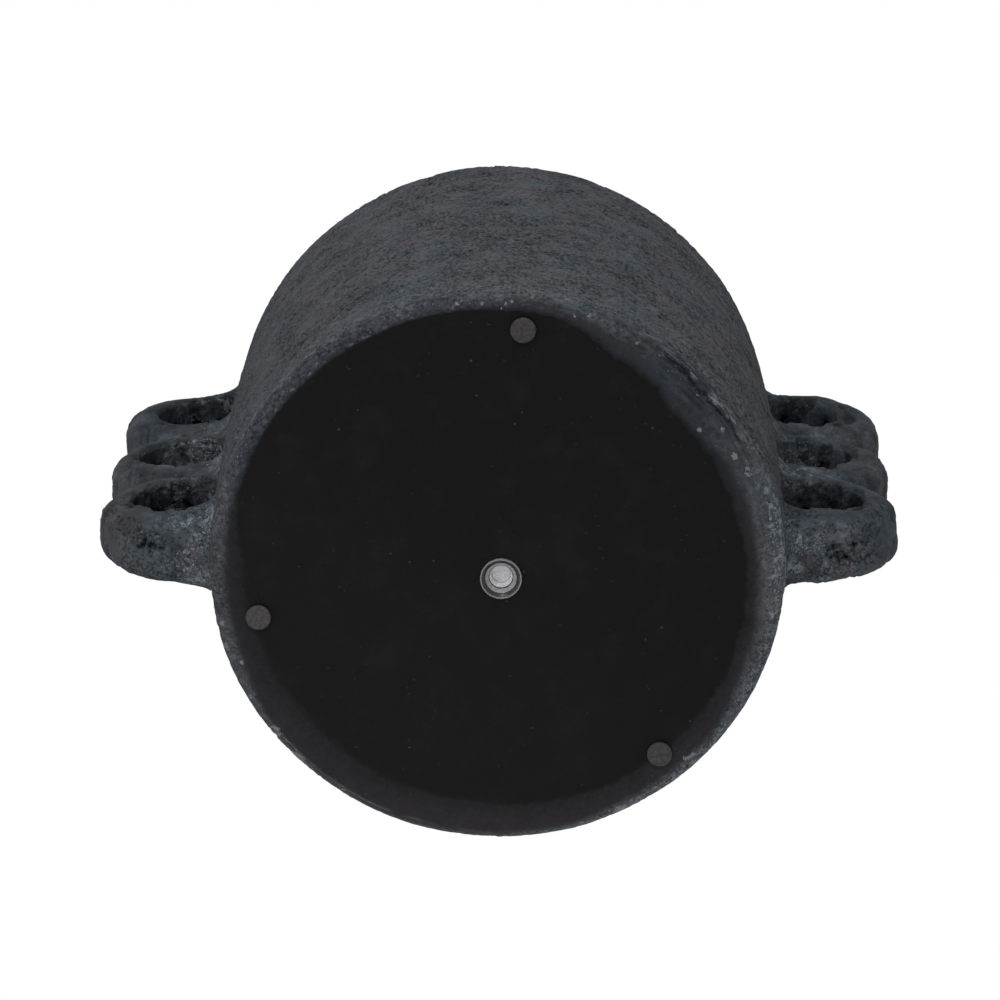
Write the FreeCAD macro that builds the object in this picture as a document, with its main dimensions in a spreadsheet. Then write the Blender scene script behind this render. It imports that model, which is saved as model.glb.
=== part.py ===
"""A round floor planter with three clay loop handles stacked on each side.

The origin is on the ground under the middle of the pot, +Z is up, +X runs through the right-hand
loops and -Y is the front. The pot stands on three stick-on pads, and a push-in plug closes the
drain hole from below. Lengths are millimetres and angles are degrees.
"""
import FreeCAD
import Part
import Sketcher
import os

# The driving dimensions. Heights of the pot and its loops are measured from its flat underside.
SIZES = {
    # Pot
    "body_height": 285.0,
    "base_radius": 150.0,
    "belly_swell": 4.0,
    "mouth_flare": 2.0,
    "wall_thick": 14.0,
    "floor_thick": 16.0,
    "base_round": 9.0,
    "floor_round": 14.0,
    "lip_round": 5.0,
    "drain_shift_x": 1.7,
    "drain_shift_y": 2.0,
    # Loop handles
    "rim_gap": 7.5,
    "base_gap": 37.5,
    "loop_reach": 60.3,
    "loop_thick": 17.0,
    "loop_root_width": 42.0,
    "loop_tip_width": 33.0,
    "loop_outer_round": 11.0,
    "loop_inner_round": 4.0,
    # Stick-on pads, each as far in from the pot's side as it was stuck by hand
    "pad_radius": 6.6,
    "pad_thick": 2.6,
    "pad_round": 0.5,
    "adhesive_radius": 6.2,
    "adhesive_thick": 0.4,
    "front_pad_inset": 17.2,
    "left_pad_inset": 22.7,
    "rear_pad_inset": 19.3,
    "front_pad_angle": -84.2,
    "left_pad_angle": 169.5,
    "rear_pad_angle": 49.4,
    # Drain plug
    "stem_radius": 8.2,
    "stem_length": 11.0,
    "stem_clearance": 0.05,
    "rib_height": 0.3,
    "rib_length": 1.2,
    "stem_wall": 2.0,
    "stem_end_thick": 1.6,
    "flange_radius": 10.9,
    "flange_thick": 1.6,
    "flange_rim_width": 0.7,
    "flange_rim_height": 0.4,
    "flange_band": 0.9,
    "dish_depth": 3.4,
    "cup_draft": 1.0,
    # How far a cut runs past what it cuts
    "overrun": 10.0,
}
LOOP_LEVELS = ("lower", "middle", "upper")
LOOP_SIDES = {"right": 0.0, "left": 180.0}
PADS = ("front", "left", "rear")
RIBS = 3
# The most that a fillet may take of the wall that it rounds
OUTER_ROUND_SHARE = 0.66
INNER_ROUND_SHARE = 0.3
EDGE_ROUND_SHARE = 0.45
# Two lengths this close are the same one, in modelling units
SAME = 1e-4

# Sizes that others follow, as expressions in the sheet's cells
BELLY_RADIUS = "(sizes.base_radius + sizes.belly_swell)"
MOUTH_RADIUS = "(sizes.base_radius + sizes.mouth_flare)"
STAND_HEIGHT = "(sizes.pad_thick + sizes.adhesive_thick)"
LOOP_PITCH = f"((sizes.body_height - sizes.rim_gap - sizes.base_gap) / {len(LOOP_LEVELS)})"
LOOP_RADIUS = f"({LOOP_PITCH} / 2)"
HOLE_RADIUS = f"({LOOP_RADIUS} - sizes.loop_thick)"
LOOP_TIP = f"({BELLY_RADIUS} + sizes.loop_reach)"
LOOP_TURN = f"({LOOP_TIP} - {LOOP_RADIUS})"
LOOP_NARROWING = "((sizes.loop_root_width - sizes.loop_tip_width) / 2)"
LOOP_TAPER = f"({LOOP_NARROWING} / ({LOOP_TIP} - sizes.base_radius))"
CUP_RADIUS = "(sizes.stem_radius - sizes.stem_wall)"
STEM_CORE = "(sizes.stem_radius - sizes.rib_height)"

doc = FreeCAD.newDocument("planter")
sheet = doc.addObject("Spreadsheet::Sheet", "sizes")
for row, (alias, number) in enumerate(SIZES.items(), start=1):
    sheet.set(f"A{row}", alias)
    sheet.set(f"B{row}", str(number))
    sheet.setAlias(f"B{row}", alias)
doc.recompute()


def value(expression):
    """What an expression in the sheet's cells comes to."""
    return float(sheet.evalExpression(expression))


def vector(point):
    return FreeCAD.Vector(value(point[0]), value(point[1]), 0)


def new_body(name):
    body = doc.addObject("PartDesign::Body", name)
    body.Label = name
    return body


def place(item, across="0", along="0", up=STAND_HEIGHT, turn=0.0):
    """Turn a piece about the upright axis, then move it to a place given by three expressions."""
    upright = FreeCAD.Vector(0, 0, 1)
    item.Placement = FreeCAD.Placement(FreeCAD.Vector(), FreeCAD.Rotation(upright, turn))
    for axis, expression in zip("xyz", (across, along, up)):
        item.setExpression(f"Placement.Base.{axis}", expression)


def new_sketch(body, name, plane_role):
    sketch = body.newObject("Sketcher::SketchObject", name)
    plane = next(item for item in body.Origin.OriginFeatures if item.Role == plane_role)
    sketch.AttachmentSupport = [(plane, "")]
    sketch.MapMode = "FlatFace"
    return sketch


def pin(sketch, geometry, vertex, point):
    """Hold a point of the sketch at a pair of expressions."""
    for kind, expression in zip(("DistanceX", "DistanceY"), point):
        rule = Sketcher.Constraint(kind, -1, 1, geometry, vertex, value(expression))
        index = sketch.addConstraint(rule)
        sketch.setExpression(f"Constraints[{index}]", expression)


def draw(sketch, points, bends=None):
    """Draw a closed outline through the points, each a pair of expressions.

    bends gives, for the number of a point, the place that the side after it curves through.
    """
    bends = bends or {}
    ends = []
    for index, start in enumerate(points):
        finish = points[(index + 1) % len(points)]
        if index not in bends:
            side = sketch.addGeometry(Part.LineSegment(vector(start), vector(finish)))
            ends.append((side, 1, 2))
            continue
        arc = Part.Arc(vector(start), vector(bends[index]), vector(finish))
        side = sketch.addGeometry(arc)
        through = sketch.addGeometry(Part.Point(vector(bends[index])), True)
        pin(sketch, through, 1, bends[index])
        sketch.addConstraint(Sketcher.Constraint("PointOnObject", through, 1, side))
        starts_here = sketch.getPoint(side, 1).distanceToPoint(vector(start)) < SAME
        ends.append((side, 1, 2) if starts_here else (side, 2, 1))
    for index, (side, first, last) in enumerate(ends):
        next_side, next_first, _ = ends[(index + 1) % len(ends)]
        sketch.addConstraint(Sketcher.Constraint("Coincident", side, last, next_side, next_first))
        pin(sketch, side, first, points[index])


def draw_circle(sketch, centre, radius):
    circle = Part.Circle(vector(centre), FreeCAD.Vector(0, 0, 1), value(radius))
    index = sketch.addGeometry(circle)
    pin(sketch, index, 3, centre)
    rule = sketch.addConstraint(Sketcher.Constraint("Radius", index, value(radius)))
    sketch.setExpression(f"Constraints[{rule}]", radius)


def spin(body, kind, sketch):
    """Turn a sketch once about its upright axis, as a solid or as a cut."""
    feature = body.newObject(f"PartDesign::{kind}", f"{sketch.Name}_turned")
    feature.Profile = sketch
    feature.ReferenceAxis = (sketch, ["V_Axis"])
    feature.Angle = 360
    return feature


def fillet(body, base, name, chosen, radius):
    """Round the edges of a feature that the function chosen picks."""
    doc.recompute()
    edges = [f"Edge{i}" for i, edge in enumerate(base.Shape.Edges, start=1) if chosen(edge)]
    if not edges:
        raise ValueError(f"{name} found no edge to round")
    feature = body.newObject("PartDesign::Fillet", name)
    feature.Base = (base, edges)
    feature.setExpression("Radius", radius)
    return feature


def is_ring(edge, radius, height):
    """Whether an edge is a whole circle of this radius at this height, about the body's axis."""
    if not isinstance(edge.Curve, Part.Circle):
        return False
    at_height = abs(edge.Curve.Center.z - value(height)) < SAME
    return at_height and abs(edge.Curve.Radius - value(radius)) < SAME


def pot_shell():
    """The thrown body: a flat floor, a wall that swells a little at half height, a soft lip."""
    body = new_body("pot_shell")
    half_height = "(sizes.body_height / 2)"
    mouth_inside = f"({MOUTH_RADIUS} - sizes.wall_thick)"
    base_inside = "(sizes.base_radius - sizes.wall_thick)"
    profile = new_sketch(body, "pot_profile", "YZ_Plane")
    points = (
        ("0", "0"),
        ("sizes.base_radius", "0"),
        (MOUTH_RADIUS, "sizes.body_height"),
        (mouth_inside, "sizes.body_height"),
        (base_inside, "sizes.floor_thick"),
        ("0", "sizes.floor_thick"),
    )
    bends = {
        1: (BELLY_RADIUS, half_height),
        3: (f"({BELLY_RADIUS} - sizes.wall_thick)", half_height),
    }
    draw(profile, points, bends)
    turned = spin(body, "Revolution", profile)

    hole_sketch = new_sketch(body, "drain_outline", "XY_Plane")
    centre = ("sizes.drain_shift_x", "sizes.drain_shift_y")
    draw_circle(hole_sketch, centre, "sizes.stem_radius + sizes.stem_clearance")
    hole = body.newObject("PartDesign::Pocket", "drain_hole")
    hole.Profile = hole_sketch
    hole.Reversed = True
    hole.setExpression("Length", "sizes.floor_thick + sizes.overrun")

    under = fillet(body, hole, "base_edge", lambda edge: is_ring(edge, "sizes.base_radius", "0"),
                   "min(sizes.base_round; sizes.floor_thick)")
    corner = fillet(body, under, "floor_corner",
                    lambda edge: is_ring(edge, base_inside, "sizes.floor_thick"),
                    "sizes.floor_round")
    fillet(body, corner, "lip",
           lambda edge: (is_ring(edge, MOUTH_RADIUS, "sizes.body_height")
                         or is_ring(edge, mouth_inside, "sizes.body_height")),
           f"min(sizes.lip_round; {EDGE_ROUND_SHARE} * sizes.wall_thick)")
    place(body)
    return body


def loop_handle(side, turn, level_name, level):
    """One strap of clay bent out and back, narrower at its tip and trimmed to the pot's wall."""
    body = new_body(f"{side}_loop_{level_name}")
    centre = f"(sizes.base_gap + {LOOP_PITCH} * {level} + {LOOP_RADIUS})"
    low = f"({centre} - {LOOP_RADIUS})"
    high = f"({centre} + {LOOP_RADIUS})"
    hole_low = f"({centre} - {HOLE_RADIUS})"
    hole_high = f"({centre} + {HOLE_RADIUS})"
    root = "(sizes.base_radius - sizes.wall_thick)"

    outline = new_sketch(body, f"{body.Name}_outline", "XZ_Plane")
    points = (
        (root, low),
        (LOOP_TURN, low),
        (LOOP_TURN, high),
        (root, high),
        (root, hole_high),
        (LOOP_TURN, hole_high),
        (LOOP_TURN, hole_low),
        (root, hole_low),
    )
    bends = {1: (LOOP_TIP, centre), 5: (f"({LOOP_TURN} + {HOLE_RADIUS})", centre)}
    draw(outline, points, bends)
    strap = body.newObject("PartDesign::Pad", f"{body.Name}_strap")
    strap.Profile = outline
    strap.Midplane = True
    strap.setExpression("Length", "sizes.loop_root_width + 2 * sizes.overrun")

    plan = new_sketch(body, f"{body.Name}_plan", "XY_Plane")
    near = f"({root} - sizes.overrun)"
    far = f"({LOOP_TIP} + sizes.overrun)"
    outside = "(sizes.loop_root_width / 2 + 2 * sizes.overrun)"
    half_near = f"(sizes.loop_root_width / 2 + {LOOP_TAPER} * (sizes.base_radius - {near}))"
    half_far = f"(sizes.loop_tip_width / 2 - {LOOP_TAPER} * sizes.overrun)"
    for hand in ("", "-"):
        corners = [(near, hand + half_near), (far, hand + half_far),
                   (far, hand + outside), (near, hand + outside)]
        draw(plan, corners)
    taper = body.newObject("PartDesign::Pocket", f"{body.Name}_taper")
    taper.Profile = plan
    taper.Midplane = True
    taper.Type = "Length"
    taper.setExpression("Length", "2 * (sizes.body_height + sizes.overrun)")

    turn_axis = FreeCAD.Vector(value(LOOP_TURN), 0, value(centre))
    rim = value(f"{HOLE_RADIUS} + sizes.loop_thick / 2")
    trim_line = value(root)

    def on_side(edge):
        """Whether an edge runs along the strap's flat sides, away from its root."""
        middle = edge.valueAt((edge.FirstParameter + edge.LastParameter) / 2)
        across = abs(edge.Vertexes[0].Point.y - edge.Vertexes[-1].Point.y)
        along = abs(edge.Vertexes[0].Point.x - edge.Vertexes[-1].Point.x)
        curved = not isinstance(edge.Curve, Part.Line)
        return middle.x > trim_line + SAME and (curved or along > across)

    def from_turn(edge):
        """How far an edge lies from the middle of the loop's opening, seen from the side."""
        middle = edge.valueAt((edge.FirstParameter + edge.LastParameter) / 2)
        if middle.x < turn_axis.x:
            return abs(middle.z - turn_axis.z)
        return FreeCAD.Vector(middle.x - turn_axis.x, 0, middle.z - turn_axis.z).Length

    outer = fillet(body, taper, f"{body.Name}_outer_edges",
                   lambda edge: on_side(edge) and from_turn(edge) > rim,
                   f"min(sizes.loop_outer_round; {OUTER_ROUND_SHARE} * sizes.loop_thick)")
    fillet(body, outer, f"{body.Name}_inner_edges",
           lambda edge: on_side(edge) and from_turn(edge) < value(HOLE_RADIUS) + SAME,
           f"min(sizes.loop_inner_round; {INNER_ROUND_SHARE} * sizes.loop_thick)")

    inside = new_sketch(body, f"{body.Name}_pot", "YZ_Plane")
    wall = (
        ("0", "0"),
        ("sizes.base_radius", "0"),
        (MOUTH_RADIUS, "sizes.body_height"),
        ("0", "sizes.body_height"),
    )
    draw(inside, wall, {1: (BELLY_RADIUS, "(sizes.body_height / 2)")})
    spin(body, "Groove", inside)
    place(body, turn=turn)
    return body


def pad(name):
    """A soft round pad with a thin disc of adhesive that holds it under the pot."""
    reach = f"(sizes.base_radius - sizes.{name}_pad_inset)"
    across = f"{reach} * cos(sizes.{name}_pad_angle)"
    along = f"{reach} * sin(sizes.{name}_pad_angle)"

    body = new_body(f"{name}_foot_pad")
    outline = new_sketch(body, f"{name}_pad_outline", "XY_Plane")
    draw_circle(outline, ("0", "0"), "sizes.pad_radius")
    disc = body.newObject("PartDesign::Pad", f"{name}_pad_disc")
    disc.Profile = outline
    disc.setExpression("Length", "sizes.pad_thick")
    fillet(body, disc, f"{name}_pad_edge", lambda edge: is_ring(edge, "sizes.pad_radius", "0"),
           f"min(sizes.pad_round; {EDGE_ROUND_SHARE} * sizes.pad_thick)")
    place(body, across, along, "0")

    adhesive = doc.addObject("Part::Cylinder", f"{name}_foot_adhesive")
    adhesive.Label = adhesive.Name
    adhesive.setExpression("Radius", "sizes.adhesive_radius")
    adhesive.setExpression("Height", "sizes.adhesive_thick")
    place(adhesive, across, along, "sizes.pad_thick")
    return [body, adhesive]


def drain_plug():
    """A push-in plug: a flange with a raised rim, a dish that leads into a cup, a ribbed stem."""
    body = new_body("drain_plug")
    face = "(-sizes.flange_thick)"
    rim_face = f"({face} - sizes.flange_rim_height)"
    rim_inside = "(sizes.flange_radius - sizes.flange_rim_width)"
    cup_end = "(sizes.stem_length - sizes.stem_end_thick)"
    points = [
        ("0", cup_end),
        (f"({CUP_RADIUS} - sizes.cup_draft)", cup_end),
        (CUP_RADIUS, f"({face} + sizes.dish_depth)"),
        (f"({rim_inside} - sizes.flange_band)", face),
        (rim_inside, face),
        (rim_inside, rim_face),
        ("sizes.flange_radius", rim_face),
        ("sizes.flange_radius", "0"),
        (STEM_CORE, "0"),
    ]
    rib_gap = f"((sizes.stem_length - {RIBS} * sizes.rib_length) / {RIBS + 1})"
    for rib in range(RIBS):
        low = f"({rib_gap} * {rib + 1} + sizes.rib_length * {rib})"
        high = f"({low} + sizes.rib_length)"
        points += [(STEM_CORE, low), ("sizes.stem_radius", low),
                   ("sizes.stem_radius", high), (STEM_CORE, high)]
    points += [
        (STEM_CORE, f"(sizes.stem_length - {rib_gap} / 2)"),
        (f"({STEM_CORE} - {rib_gap} / 2)", "sizes.stem_length"),
        ("0", "sizes.stem_length"),
    ]
    profile = new_sketch(body, "plug_profile", "XZ_Plane")
    draw(profile, points)
    spin(body, "Revolution", profile)
    place(body, "sizes.drain_shift_x", "sizes.drain_shift_y")
    return body


def build():
    pieces = [pot_shell()]
    for side, turn in LOOP_SIDES.items():
        for level, level_name in enumerate(LOOP_LEVELS):
            pieces.append(loop_handle(side, turn, level_name, level))
    for name in PADS:
        pieces += pad(name)
    pieces.append(drain_plug())
    return pieces


def check(pieces):
    """Stop if any object failed or any piece isn't a sound solid."""
    for item in doc.Objects:
        if "Invalid" in item.State or "Error" in item.State:
            raise RuntimeError(f"{item.Label} failed: {item.State}")
    for piece in pieces:
        if piece.Shape.isNull() or not piece.Shape.isValid() or len(piece.Shape.Solids) != 1:
            raise RuntimeError(f"{piece.Label} isn't one valid solid")


pieces = build()
doc.recompute()
check(pieces)
os.makedirs("parts", exist_ok=True)
for piece in pieces:
    piece.Shape.exportStep(f"parts/{piece.Label}.step")
    print(piece.Label, f"{piece.Shape.Volume:.0f}", piece.Shape.BoundBox)
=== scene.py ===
"""A rough charcoal planter with three clay loops on each side, seen from below.

The clay is modelled as dense meshes: the shell is a turned profile, the loops are the surface of a
smooth union of bent straps and the wall, and one relief field roughens them all, so that they run
into each other. Lengths are in millimetres until a mesh is made, and the meshes are in metres.
"""
import itertools
import math
import bpy
import numpy as np
from mathutils import Matrix, Vector


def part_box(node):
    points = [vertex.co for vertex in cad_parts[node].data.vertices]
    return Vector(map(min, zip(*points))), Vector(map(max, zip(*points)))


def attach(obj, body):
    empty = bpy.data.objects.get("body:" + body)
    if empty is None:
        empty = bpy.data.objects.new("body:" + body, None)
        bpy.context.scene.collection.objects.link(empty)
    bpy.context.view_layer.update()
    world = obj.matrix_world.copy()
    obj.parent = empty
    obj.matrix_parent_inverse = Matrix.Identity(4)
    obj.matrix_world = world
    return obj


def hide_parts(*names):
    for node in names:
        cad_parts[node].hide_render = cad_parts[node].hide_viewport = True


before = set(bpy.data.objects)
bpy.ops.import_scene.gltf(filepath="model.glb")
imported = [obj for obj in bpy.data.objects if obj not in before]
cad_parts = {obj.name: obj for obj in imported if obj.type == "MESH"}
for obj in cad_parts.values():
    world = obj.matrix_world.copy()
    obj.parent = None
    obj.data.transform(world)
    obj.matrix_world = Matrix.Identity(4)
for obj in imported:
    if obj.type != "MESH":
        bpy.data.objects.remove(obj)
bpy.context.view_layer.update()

MM = 0.001


def box(node):
    """A node's lowest and highest corners, in millimetres."""
    low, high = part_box(node)
    return np.array(low) / MM, np.array(high) / MM


# Sizes read from the frame
SHELL_LOW, SHELL_HIGH = box("pot_shell")
STAND = SHELL_LOW[2]
RIM = SHELL_HIGH[2]
HEIGHT = RIM - STAND
BELLY_RADIUS = SHELL_HIGH[0]
PLUG_LOW, PLUG_HIGH = box("drain_plug")
DRAIN = (PLUG_LOW + PLUG_HIGH) / 2
FLANGE_RADIUS = (PLUG_HIGH[0] - PLUG_LOW[0]) / 2
LOOP_LEVELS = ("lower", "middle", "upper")
LOOP_SIDES = {"right": 1, "left": -1}
PADS = ("front", "left", "rear")

# Sizes of the pot that no box shows
BASE_RADIUS = BELLY_RADIUS - 4.0
MOUTH_RADIUS = BELLY_RADIUS - 2.0
WALL = 14.0
FLOOR = 16.0
LIP_ROUND = 5.0
FLOOR_ROUND = 14.0
DRAIN_RADIUS = 8.25
LOOP_THICK = 17.0
LOOP_ROOT_WIDTH = 42.0
LOOP_TIP_WIDTH = 33.0
LOOP_OUTER_ROUND = 11.0
LOOP_INNER_ROUND = 3.0
LOOP_FLARE = 3.0
LOOP_TIP_EXTRA = {"right": (3.5, 4.5, 8.0), "left": (2.0, 0.5, 1.5)}

RANDOM = np.random.default_rng(11)
SHUFFLE = RANDOM.permutation(256)
SLOPES = RANDOM.normal(size=(256, 3))
SLOPES /= np.linalg.norm(SLOPES, axis=1)[:, None]


# Noise and curves

def noise(points, seed):
    """Smooth noise, about -1 to 1, at points given in cells."""
    cell = np.floor(points).astype(int)
    inside = points - cell
    fade = inside ** 3 * (inside * (inside * 6 - 15) + 10)
    total = np.zeros(len(points))
    for corner in itertools.product((0, 1), repeat=3):
        place = cell + corner
        index = SHUFFLE[(place[:, 0] + seed) & 255]
        index = SHUFFLE[(index + place[:, 1]) & 255]
        index = SHUFFLE[(index + place[:, 2]) & 255]
        weight = np.prod(np.where(corner, fade, 1 - fade), axis=1)
        total += weight * np.einsum("ij,ij->i", SLOPES[index], inside - corner)
    return total * 1.7


def layered(points, layers, seed):
    """Noise with finer and fainter layers added."""
    return sum(noise(points * 2.03 ** i, seed + 17 * i) * 0.5 ** i for i in range(layers))


def ramp(low, high, value):
    """0 below low, 1 above high and smooth between them."""
    share = np.clip((value - low) / (high - low), 0, 1)
    return share * share * (3 - 2 * share)


def apart(angle, centre):
    """How far one angle is past another, from -180 to 180 degrees."""
    return (angle - centre + 180) % 360 - 180


def hump(angle, centre, width):
    """1 at an angle round the pot, falling to 0 on both sides, all in degrees."""
    return np.exp(-(apart(angle, centre) / width) ** 2)


def blend(first, second, reach):
    """The lesser of two distances, rounded where they meet."""
    near = np.maximum(reach - np.abs(first - second), 0) / reach
    return np.minimum(first, second) - near * near * reach / 4


def polar(points):
    """Angle round the pot in degrees, distance from its axis and height above the underside."""
    around = np.degrees(np.arctan2(points[:, 1], points[:, 0]))
    return around, np.hypot(points[:, 0], points[:, 1]), points[:, 2] - STAND


# The form of the pot

def wall_radius(height):
    """Outside radius of the wall at a height above the underside: widest halfway up."""
    share = np.clip(height / HEIGHT, 0, 1)
    low = BASE_RADIUS * (1 - share) * (1 - 2 * share)
    middle = BELLY_RADIUS * 4 * share * (1 - share)
    return low + middle + MOUTH_RADIUS * share * (2 * share - 1)


def flat_radius(angle):
    """Where the flat underside ends: the edge is softer at the back and broad at one corner."""
    return 143.0 - 10.0 * hump(angle, 100, 70) - 14.0 * hump(angle, 324, 32)


def edge_height(angle):
    """How high the rounded edge climbs up the wall."""
    return 8.0 + 5.0 * hump(angle, 100, 70) + 8.0 * hump(angle, 324, 32)


# The painted underside, every 20 degrees round the pot: where the black has half faded into a
# thin brownish coat, over what width it does so, and where the thin coat has half worn off
BLACK_END = (134.5, 136, 136.5, 137, 135, 133.5, 136.5, 138, 140.5, 141, 143.2, 144.2, 144.6,
             144.4, 143, 133.5, 128, 131)
BLACK_FADE = (6, 6, 7, 8, 8, 9, 12, 14, 15, 11, 2.2, 1.5, 1.5, 1.5, 1.8, 3, 3.5, 4.5)
COAT_END = (137, 140, 144, 144, 148, 150, 150, 149, 143, 143, 144.5, 145, 145.5, 145.5, 149, 140,
            130, 136)


def round_pot(angle, values):
    """Values given at even steps round the pot, joined smoothly."""
    place = angle / 360 * len(values)
    before = np.floor(place).astype(int)
    values = np.array(values, dtype=float)
    first = values[before % len(values)]
    return first + (values[(before + 1) % len(values)] - first) * ramp(0, 1, place - before)


PIT_DEPTH = 1.1
LOOP_PIT_EXTRA = 0.2


def relief(points, off_wall, smooth):
    """How far the clay stands out at each point, and how deep in a pit it is, from 0 to 1.

    off_wall is 0 on the wall and 1 out on the loops, which are lumpier. smooth is 1 where the
    clay was rubbed smooth.
    """
    broad = 0.55 * layered(points / 62, 2, 3)
    lumps = noise(points / 24, 5) * off_wall
    sweeps = 0.22 * noise(points / (58, 58, 9), 8)
    brushed = 0.16 * noise(points / (17, 17, 2.6), 30) * (1 - off_wall)
    patch = ramp(-0.25, 0.4, layered(points / (30, 30, 20), 3, 12))
    large = ramp(0.1, 0.6, layered(points / (5.0, 5.0, 4.4), 2, 21)) * patch
    small = ramp(0.1, 0.6, noise(points / (2.6, 2.6, 2.7), 26)) * (0.2 + 0.8 * patch)
    small *= 1 - 0.5 * off_wall
    grit = 0.26 * noise(points / (2.8, 2.8, 2.4), 33) * (0.5 + 0.8 * patch)
    pits = (0.7 * large + 0.55 * small) * (1 - 0.85 * smooth)
    depth = PIT_DEPTH + LOOP_PIT_EXTRA * off_wall
    return broad + lumps + sweeps + brushed + grit - pits * depth, pits


def bloom_patches(points):
    """Where the whitish bloom lies, from 0 to 1."""
    return ramp(-0.45, 0.15, noise(points / 13, 80))


def wall_bloom(points):
    """The whitish bloom on the wall beside the loops, from 0 to 1."""
    near = ramp(48, 18, np.abs(points[:, 1])) * ramp(15, 40, points[:, 2] - STAND)
    return 0.35 * bloom_patches(points) * near


# Meshes

def placed(name, data, body=None):
    """An object in the scene, riding on a body where one is given."""
    piece = bpy.data.objects.new(name, data)
    bpy.context.scene.collection.objects.link(piece)
    if body:
        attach(piece, body)
    return piece


def add_clay(name, points, faces, values, material):
    """A smooth piece from points in millimetres, which carries values for its material."""
    mesh = bpy.data.meshes.new(name)
    mesh.vertices.add(len(points))
    mesh.vertices.foreach_set("co", (points * MM).ravel())
    mesh.loops.add(faces.size)
    mesh.loops.foreach_set("vertex_index", faces.ravel())
    mesh.polygons.add(len(faces))
    mesh.polygons.foreach_set("loop_start", np.arange(0, faces.size, faces.shape[1]))
    mesh.update(calc_edges=True)
    mesh.shade_smooth()
    for key, numbers in values.items():
        numbers = np.broadcast_to(numbers, len(points))
        layer = mesh.attributes.new(key, "FLOAT", "POINT")
        layer.data.foreach_set("value", np.asarray(numbers, dtype=np.float32))
    mesh.materials.append(material)
    return placed(name, mesh, "pot")


def ring_faces(rows, columns):
    """Quads of a grid that closes on itself both ways."""
    here = np.arange(rows * columns).reshape(rows, columns)
    aside = np.roll(here, -1, axis=1)
    corners = (here, aside, np.roll(aside, -1, axis=0), np.roll(here, -1, axis=0))
    return np.stack(corners, axis=-1).reshape(-1, 4)


def grid_normals(grid):
    """Outward directions on a closed grid of points."""
    along = np.roll(grid, -1, axis=1) - np.roll(grid, 1, axis=1)
    up = np.roll(grid, -1, axis=0) - np.roll(grid, 1, axis=0)
    normal = np.cross(along, up)
    return normal / np.maximum(np.linalg.norm(normal, axis=2, keepdims=True), 1e-9)


# How finely the shell is divided, round it and along its profile
SHELL_COLUMNS = 840
BASE_ROWS = 84
EDGE_ROWS = 56
WALL_ROWS = 250
INSIDE_ROWS = 150
FLOOR_ROWS = 40


def shell_rows(angle):
    """The turned profile as (radius, height above the underside, roughness, share of drain)."""
    flat = flat_radius(angle)
    climb = edge_height(angle)
    side = wall_radius(climb)
    rows = []
    for share in np.linspace(0, 1, BASE_ROWS, endpoint=False):
        reach = DRAIN_RADIUS + (flat - DRAIN_RADIUS) * share
        rows.append((reach, 0, 0.25 * ramp(0, 0.1, share), 1 - ramp(0, 0.5, share)))
    quarter = math.pi / 2
    for share in np.linspace(0, 1, EDGE_ROWS, endpoint=False):
        turn = share * quarter
        rows.append((flat + (side - flat) * math.sin(turn), climb * (1 - math.cos(turn)),
                     0.4 + 0.6 * share ** 0.7, 0))
    lip_base = HEIGHT - LIP_ROUND
    for share in np.linspace(0, 1, WALL_ROWS, endpoint=False):
        height = climb + (lip_base - climb) * share
        rows.append((wall_radius(height), height, 1, 0))
    outer = wall_radius(lip_base) - LIP_ROUND
    inner = wall_radius(lip_base) - WALL + LIP_ROUND
    for middle, turns in ((outer, np.linspace(0, quarter, 7)),
                          (inner, np.linspace(quarter, math.pi, 7, endpoint=False))):
        for turn in turns:
            rows.append((middle + LIP_ROUND * math.cos(turn),
                         lip_base + LIP_ROUND * math.sin(turn), 1, 0))
    corner_top = FLOOR + FLOOR_ROUND
    for share in np.linspace(0, 1, INSIDE_ROWS, endpoint=False):
        height = lip_base + (corner_top - lip_base) * share
        rows.append((wall_radius(height) - WALL, height, 1 - 0.2 * share, 0))
    corner = BASE_RADIUS - WALL - FLOOR_ROUND
    for turn in np.linspace(0, quarter, 9):
        rows.append((corner + FLOOR_ROUND * math.cos(turn),
                     corner_top - FLOOR_ROUND * math.sin(turn), 0.8, 0))
    for share in np.linspace(0, 1, FLOOR_ROWS)[1:]:
        reach = corner + (DRAIN_RADIUS - corner) * share
        rows.append((reach, FLOOR, 0.7 * (1 - share), ramp(0.5, 1, share)))
    for share in np.linspace(0, 1, 8)[1:-1]:
        rows.append((DRAIN_RADIUS, FLOOR * (1 - share), 0, 1))
    return rows


# Pale chips along the edge of the underside: angle, distance from the axis and size
CHIPS = (
    (143, 147.6, 4.4), (136, 148.0, 4.4), (132.5, 148.6, 3.6), (135, 149.2, 1.6),
    (138.5, 148.6, 1.4), (143, 148.0, 1.6), (124, 148.6, 2.4), (64, 148.0, 4.5),
    (45, 144.5, 5.0), (337, 141.0, 3.2), (332.5, 138.3, 2.2), (326, 140.0, 1.6),
    (323, 130.5, 1.6), (317, 142.0, 1.3), (300, 143.5, 1.4), (289, 146.7, 1.4),
    (286, 144.5, 1.2), (273, 146.7, 1.2), (271.5, 146.0, 1.1), (271, 143.2, 1.2),
    (267, 146.1, 1.2), (262, 147.0, 1.2), (256, 146.5, 1.1), (176.5, 146.5, 2.4),
    (169, 147.5, 1.8), (164, 148.5, 2.6), (160, 143.4, 1.6), (152, 148.0, 1.8),
)


def chipped(around, reach):
    """How much each point of the edge is chipped, from 0 to 1."""
    total = 0
    for angle, radius, size in CHIPS:
        along = np.radians(apart(around, angle)) * radius
        total = total + np.exp(-(along ** 2 + (reach - radius) ** 2) / size ** 2)
    return total


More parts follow.
